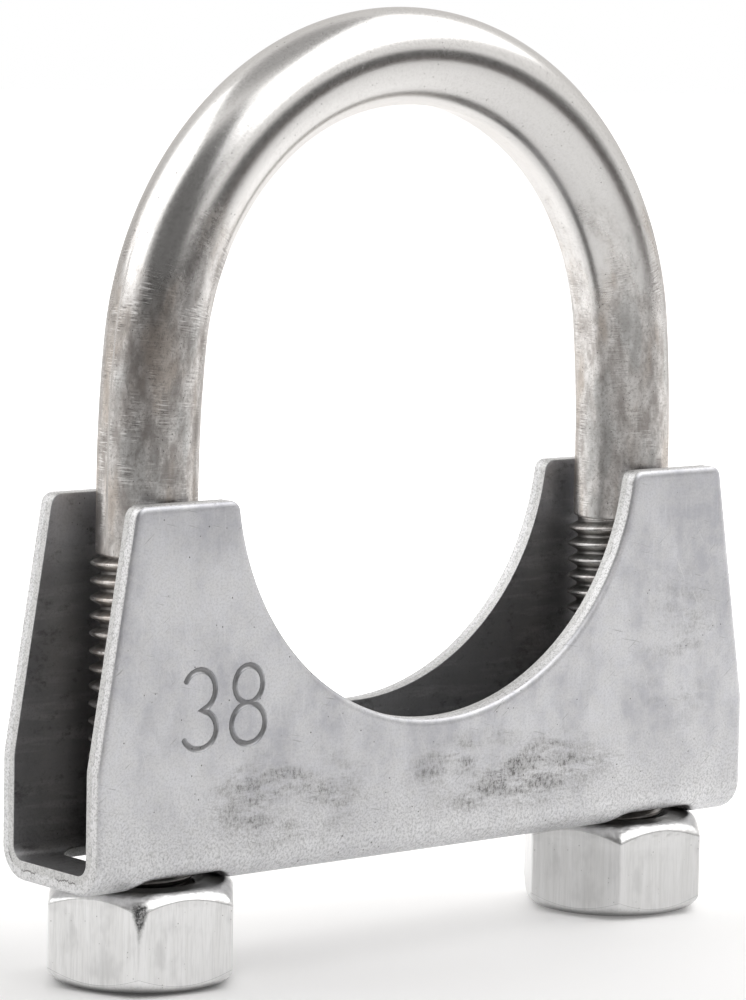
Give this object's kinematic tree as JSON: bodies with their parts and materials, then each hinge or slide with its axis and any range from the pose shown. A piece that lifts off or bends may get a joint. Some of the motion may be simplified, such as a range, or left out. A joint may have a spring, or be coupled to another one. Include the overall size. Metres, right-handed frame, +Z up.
{
  "type": "u-bolt pipe clamp",
  "caption": "Saddle clamp for a round pipe: a bent U-bolt with threaded legs, a folded channel saddle, and a hexagon nut on each leg.",
  "frame": {"origin": "midway between the two legs, in the plane of the nuts' lower faces, where the clamp stands", "axes": "+Z up the legs towards the arch, +Y along the pipe, +X along the saddle"},
  "size_m": [0.062, 0.014, 0.0689],
  "materials": {
    "bright_steel": "drawn bright stainless steel rod, fine lengthwise draw marks",
    "sheet_steel": "satin cool grey stainless sheet, sheared edges",
    "nut_steel": "satin stainless steel, cold-formed flats, bright chamfers"
  },
  "bodies": {
    "saddle": {"saddle": "sheet_steel"},
    "u_bolt": {"u_bolt": "bright_steel"},
    "nut_left": {"nut_left": "nut_steel"},
    "nut_right": {"nut_right": "nut_steel"}
  },
  "joints": [
    {"name": "nut_left_spin", "type": "hinge", "parent": "saddle", "child": "nut_left", "pos_m": [-0.02285, 0, 0.0036], "axis": [0, 0, 1], "range_deg": [-1080, 1886.4]},
    {"name": "nut_right_spin", "type": "hinge", "parent": "saddle", "child": "nut_right", "pos_m": [0.02285, 0, 0.0036], "axis": [0, 0, 1], "range_deg": [-1080, 1886.4]},
    {"name": "u_bolt_draw", "type": "slide", "parent": "saddle", "child": "u_bolt", "axis": [0, 0, 1], "range_m": [-0.00655, 0.00375]}
  ],
  "couplings": [
    {"joint": "nut_left_spin", "follows": "u_bolt_draw", "rad_per_m": -5026.5},
    {"joint": "nut_right_spin", "follows": "u_bolt_draw", "rad_per_m": -5026.5}
  ]
}
